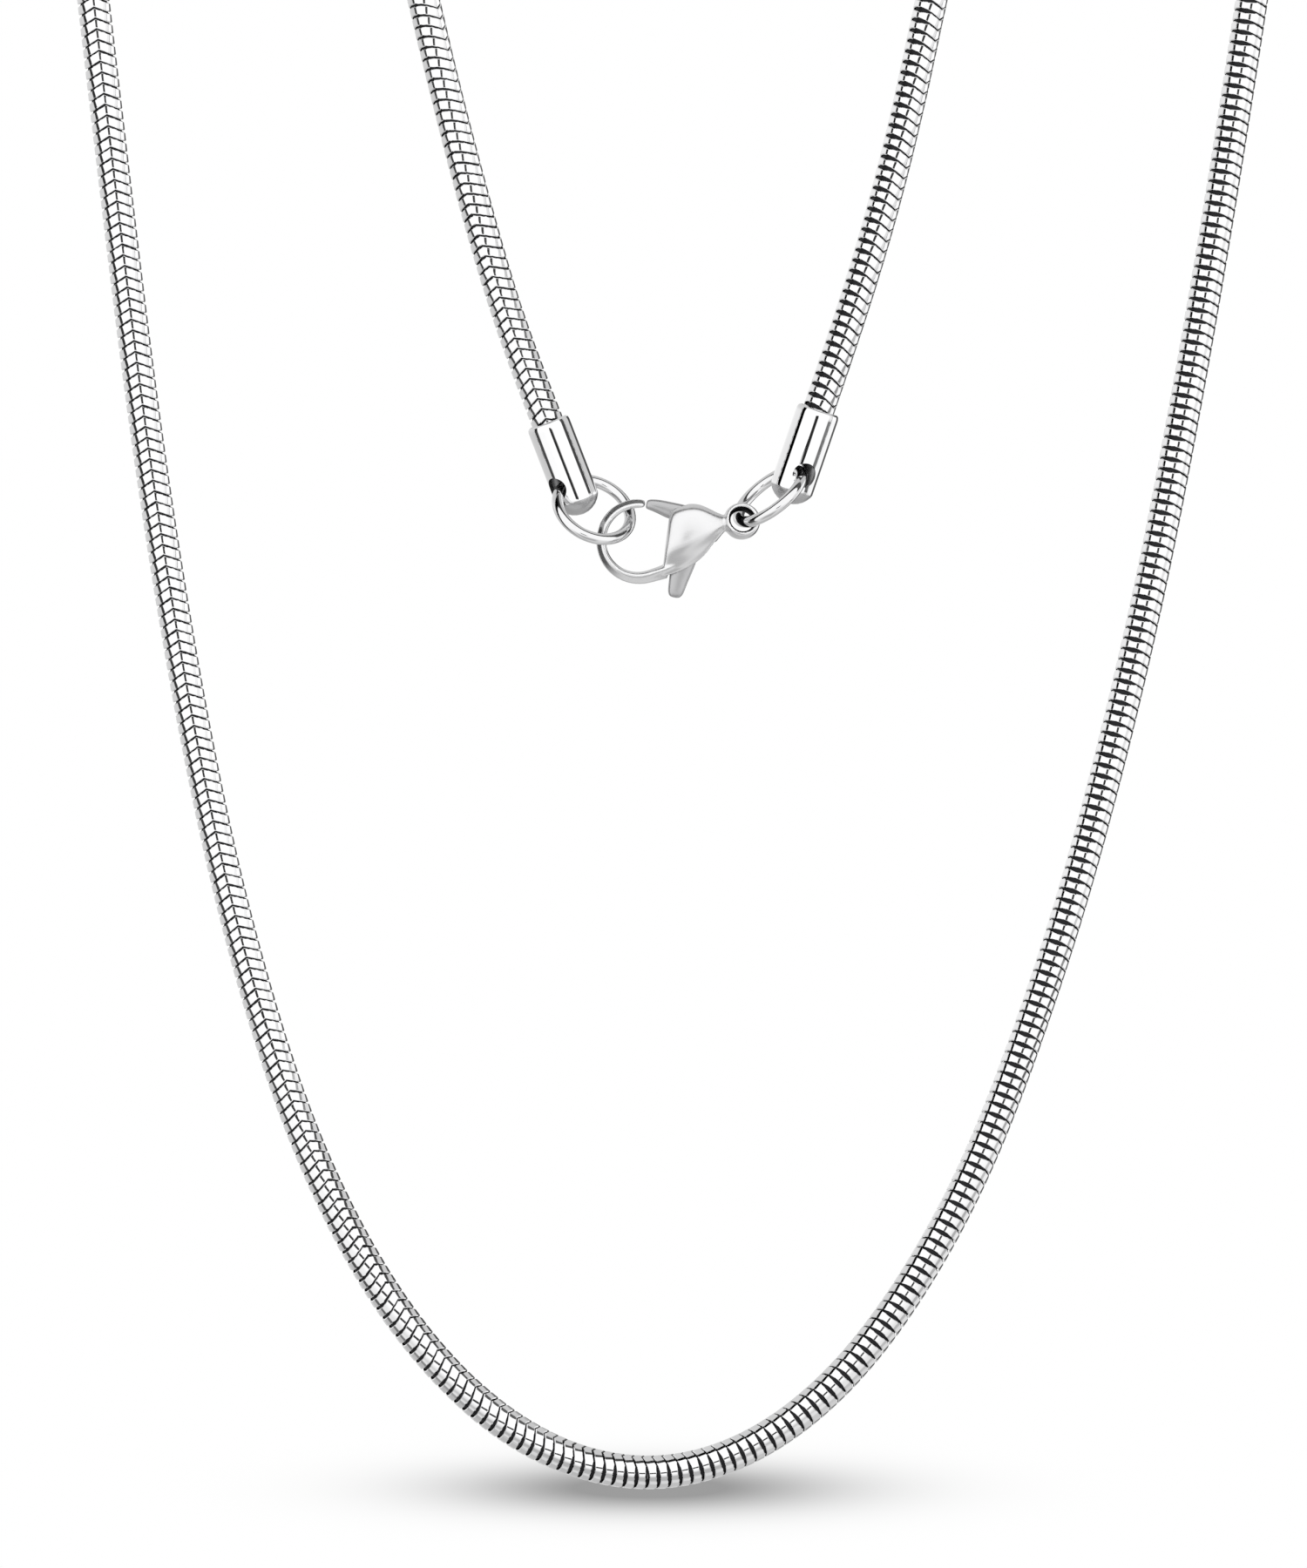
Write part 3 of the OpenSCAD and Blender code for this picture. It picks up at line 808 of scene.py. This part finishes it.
def end_cap(name, end, before, hole_turn, node):
    """One cap, from the route's last two points there and its cross hole's turn in degrees."""
    cap = grown(name, CAP_SIDES, cap_rings(), rounded=False)
    cut(cap, round_tool(TOOL_SIDES, WALL_R, HOLLOW_TO - HOLLOW_FROM,
                        ((HOLLOW_FROM + HOLLOW_TO) / 2, 0, 0), (0, math.pi / 2, 0)))
    cut(cap, round_tool(TOOL_SIDES, HOLE_R, 4 * CAP_R, (HOLE_AT, 0, 0),
                        (math.radians(90 + hole_turn), 0, 0)))
    finishes = [cap_finish(face) for face in cap.data.polygons]
    down = math.atan2(before[1] - end[1], end[0] - before[0])
    cap_place = (Matrix.Translation((end[0], 0, end[1])) @ Matrix.Rotation(down, 4, "Y")
                 @ Matrix.Scale(MM, 4))
    seat_fitting(cap, name, cap_polish, "necklace", node, place=cap_place,
                 crease=CAP_CREASE)
    # Faces inside the hollow and the hole wear the grey painted shade
    cap.data.materials.append(hole_painted_shade)
    cap.data.materials.append(cap_end_satin)
    cap.data.polygons.foreach_set("material_index", finishes)


end_cap("turned_cap_left", ROUTE[0], ROUTE[1], hole_turn=50, node="end_cap_left")
end_cap("turned_cap_right", ROUTE[-1], ROUTE[-2], hole_turn=-22, node="end_cap_right")

# %% [markdown]
# The jump rings and the pin keep their measured solids, because a bent wire is as exact there
# as it could be here. They only get their polish.

# %% Polish the rings and the pin
for name, material in (("jump_ring_left", ring_polish), ("jump_ring_right", ring_polish),
                       ("clasp_pin", lever_satin)):
    solid = frame["nodes"][name]
    solid.data.materials.clear()
    solid.data.materials.append(material)
    print(name, "wears", material.name)

# %% [markdown]
# ## The light tent
# Polished steel shows its surroundings more than itself. In the photograph those are a white
# tent with a few dark gaps. Lamps and paper walls could be built for it, but the gaps then have
# to be found by moving them about. Here the tent is drawn by direction in the world's nodes:
# a thin dark slit where the camera looks in, a dark edge where the white front ends, a greyer
# back, and a table top below that is grey too. The camera itself sees plain white there.

# %% World
TENT_STRENGTH = 1.25
LENS_TONE = 0.02
# By degrees away from the camera's side: how far a direction counts as behind
BEHIND = [(0, 0.0), (88, 0.0), (92, 1.0), (180, 1.0)]
# The same for the far rim there, and its weight round the clock: it stands at the right only
RIM = [(0, 0.0), (129, 0.0), (134, 1.0), (180, 1.0)]
RIM_WEIGHT = [(-180, 0.0), (-75, 0.0), (-45, 0.9), (40, 0.9), (60, 0.0), (180, 0.0)]
# The back's tone round the clock: left, down, right, up, left
BACK_TONE = [(-180, 0.64), (-165, 0.60), (-110, 0.64), (-60, 0.74), (-34, 0.95), (14, 0.97),
             (18, 0.56), (60, 0.54), (100, 0.56), (150, 0.60), (168, 0.80), (180, 0.64)]
# The dark edge where the white front ends, and its weight round the clock
EDGE = [(0, 1.0), (69, 1.0), (72, 0.0), (90, 0.0), (93, 1.0), (180, 1.0)]
EDGE_WEIGHT = [(-180, 1.0), (-145, 0.9), (-115, 0.1), (-60, 0.1), (-30, 0.5), (-26, 0.3),
               (-24, 0.9), (-20.8, 0.9), (-19.8, 0.25), (13, 0.15), (18, 0.95), (60, 0.9),
               (100, 1.0), (180, 1.0)]
# By degrees above the horizon: what the grey table top leaves of the tone
TABLE_TOP = [(-90, 0.72), (-70, 0.70), (-45, 0.70), (-32, 0.74), (-22, 0.90), (-12, 0.97),
             (-7, 1.0), (90, 1.0)]
# Right in front the table comes nearer, and this much of it stands at each bearing
NEAR_TABLE = [(-90, 0.72), (-70, 0.68), (-60, 0.42), (-34, 0.42), (-26, 0.72), (-14, 0.92),
              (-7, 1.0), (90, 1.0)]
NEAR_WEIGHT = [(-180, 0.0), (-50, 0.0), (-30, 1.0), (20, 1.0), (36, 0.0), (180, 0.0)]
# The dark opening for the lens, by bearing and by degrees above the horizon
LENS_BEARING = [(-180, 1.0), (-5, 1.0), (-3.5, 0.0), (10, 0.0), (11.5, 1.0), (180, 1.0)]
LENS_RISE = [(-90, 1.0), (-8.5, 1.0), (-6.5, 0.0), (0.5, 0.0), (2.5, 1.0), (90, 1.0)]

world = bpy.data.worlds.new("light_tent")
bpy.context.scene.world = world
world.use_nodes = True
tent_tree = world.node_tree
tent_tree.nodes.clear()


def worked(operation, *values):
    """One step of arithmetic in the tent's nodes."""
    return node_math(tent_tree, operation, *values)


def table_of(angle, stops):
    """A grey tone read from a short table of (degrees, tone), blended in between."""
    low, high = stops[0][0], stops[-1][0]
    share = tent_tree.nodes.new("ShaderNodeMapRange")
    share.inputs["From Min"].default_value = math.radians(low)
    share.inputs["From Max"].default_value = math.radians(high)
    tent_tree.links.new(angle, share.inputs["Value"])
    tones = tent_tree.nodes.new("ShaderNodeValToRGB")
    tent_tree.links.new(share.outputs["Result"], tones.inputs["Fac"])
    ramp = tones.color_ramp
    while len(ramp.elements) > 1:
        ramp.elements.remove(ramp.elements[-1])
    for k, (degrees, tone) in enumerate(stops):
        position = (degrees - low) / (high - low)
        stop = ramp.elements[0] if k == 0 else ramp.elements.new(position)
        stop.position = position
        stop.color = (tone, tone, tone, 1)
    return tones.outputs["Color"]


def inverse(tone):
    """What is left of white beside a tone."""
    return worked("SUBTRACT", 1.0, tone)


seen = tent_tree.nodes.new("ShaderNodeTexCoord")
split = tent_tree.nodes.new("ShaderNodeSeparateXYZ")
tent_tree.links.new(seen.outputs["Generated"], split.inputs["Vector"])
towards = worked("MULTIPLY", split.outputs["Y"], -1)
bearing = worked("ARCTAN2", split.outputs["X"], towards)
rise = worked("ARCSINE", split.outputs["Z"])
away = worked("ARCCOSINE", towards)
clock = worked("ARCTAN2", split.outputs["Z"], split.outputs["X"])

edge = worked("MULTIPLY", inverse(table_of(away, EDGE)), table_of(clock, EDGE_WEIGHT))
greyer = worked("MULTIPLY", inverse(table_of(clock, BACK_TONE)), table_of(away, BEHIND))
rim = worked("MULTIPLY", table_of(away, RIM), table_of(clock, RIM_WEIGHT))
back = worked("MULTIPLY", inverse(greyer), inverse(rim))
walls = worked("MULTIPLY", back, inverse(edge))
far_table = table_of(rise, TABLE_TOP)
nearer = worked("SUBTRACT", table_of(rise, NEAR_TABLE), far_table)
table = worked("MULTIPLY_ADD", nearer, table_of(bearing, NEAR_WEIGHT), far_table)
room = worked("MULTIPLY", walls, table)
around_lens = worked("MAXIMUM", table_of(bearing, LENS_BEARING), table_of(rise, LENS_RISE))
tent_tone = worked("MULTIPLY", room, worked("MAXIMUM", around_lens, LENS_TONE))

tent = tent_tree.nodes.new("ShaderNodeBackground")
tent.inputs["Strength"].default_value = TENT_STRENGTH
tent_tree.links.new(tent_tone, tent.inputs["Color"])
plain = tent_tree.nodes.new("ShaderNodeBackground")
plain.inputs["Color"].default_value = (1, 1, 1, 1)
plain.inputs["Strength"].default_value = 1.0
rays = tent_tree.nodes.new("ShaderNodeLightPath")
both = tent_tree.nodes.new("ShaderNodeMixShader")
world_out = tent_tree.nodes.new("ShaderNodeOutputWorld")
tent_tree.links.new(rays.outputs["Is Camera Ray"], both.inputs["Fac"])
tent_tree.links.new(tent.outputs["Background"], both.inputs[1])
tent_tree.links.new(plain.outputs["Background"], both.inputs[2])
tent_tree.links.new(both.outputs["Shader"], world_out.inputs["Surface"])
bpy.context.scene.view_settings.view_transform = "Standard"
print("tent tones:", len(BACK_TONE), "round the clock,", len(TABLE_TOP), "by rise")

# %% [markdown]
# ## The floor and the soft light
# The photograph's white is overexposed, and only under the lowest bend does it keep a soft
# grey shade. Real light would have to be tuned to blow out just so much of a white sheet. A
# sheet that shines by itself is white for certain, and the shade is painted on it as a round
# fall of tone, cut off where it would get too dark. The steel doesn't mirror the sheet, as the
# tent already has its table top, nor the broad lamp above, which stands for the studio's light.

# %% Floor
FLOOR_SIZE = 4
FLOOR_GAP = 0.0002
FLOOR_Z = cad_box[0].z - FLOOR_GAP
PAPER = 1.0
SHADE_AT = (-0.0023, 0.0033, 0)
SHADE_WIDE, SHADE_DEEP = 0.0099, 0.016
SHADE_DEPTH, SHADE_MOST = 0.78, 0.665

bpy.ops.object.select_all(action="DESELECT")
bpy.ops.mesh.primitive_plane_add(size=FLOOR_SIZE, location=(0, 0, FLOOR_Z))
floor = bpy.context.object
floor.name = "floor"
paper = bpy.data.materials.new("floor_paper")
paper.use_nodes = True
paper_tree = paper.node_tree
shader = paper_tree.nodes["Principled BSDF"]
shader.inputs["Roughness"].default_value = 1.0
shader.inputs["Base Color"].default_value = (0, 0, 0, 1)
shader.inputs["Specular IOR Level"].default_value = 0
shader.inputs["Emission Strength"].default_value = 1.0
place = paper_tree.nodes.new("ShaderNodeTexCoord")
spot = paper_tree.nodes.new("ShaderNodeMapping")
spot.vector_type = "TEXTURE"
spot.inputs["Location"].default_value = SHADE_AT
spot.inputs["Scale"].default_value = (SHADE_WIDE, SHADE_DEEP, 1)
reach = paper_tree.nodes.new("ShaderNodeVectorMath")
reach.operation = "DOT_PRODUCT"
paper_tree.links.new(place.outputs["Object"], spot.inputs["Vector"])
paper_tree.links.new(spot.outputs["Vector"], reach.inputs[0])
paper_tree.links.new(spot.outputs["Vector"], reach.inputs[1])
half_square = node_math(paper_tree, "MULTIPLY", reach.outputs["Value"], -0.5)
bell = node_math(paper_tree, "MULTIPLY", node_math(paper_tree, "EXPONENT", half_square), SHADE_DEPTH)
shade = node_math(paper_tree, "MINIMUM", bell, SHADE_MOST)
paper_tree.links.new(node_math(paper_tree, "SUBTRACT", PAPER, shade), shader.inputs["Emission Color"])
floor.data.materials.append(paper)
floor.visible_glossy = False
print("floor at", round(FLOOR_Z, 4), "m")

# %% Soft light from above
LAMP_POWER = 0.9
LAMP_SOFTNESS = math.radians(90)
LAMP_TILT = math.radians(20)

lamp_data = bpy.data.lights.new("soft_top", "SUN")
lamp_data.energy = LAMP_POWER
lamp_data.angle = LAMP_SOFTNESS
lamp = bpy.data.objects.new("soft_top", lamp_data)
bpy.context.scene.collection.objects.link(lamp)
lamp.rotation_euler = (LAMP_TILT, 0, 0)
lamp.visible_glossy = False
print("lamp", LAMP_POWER, "strong")
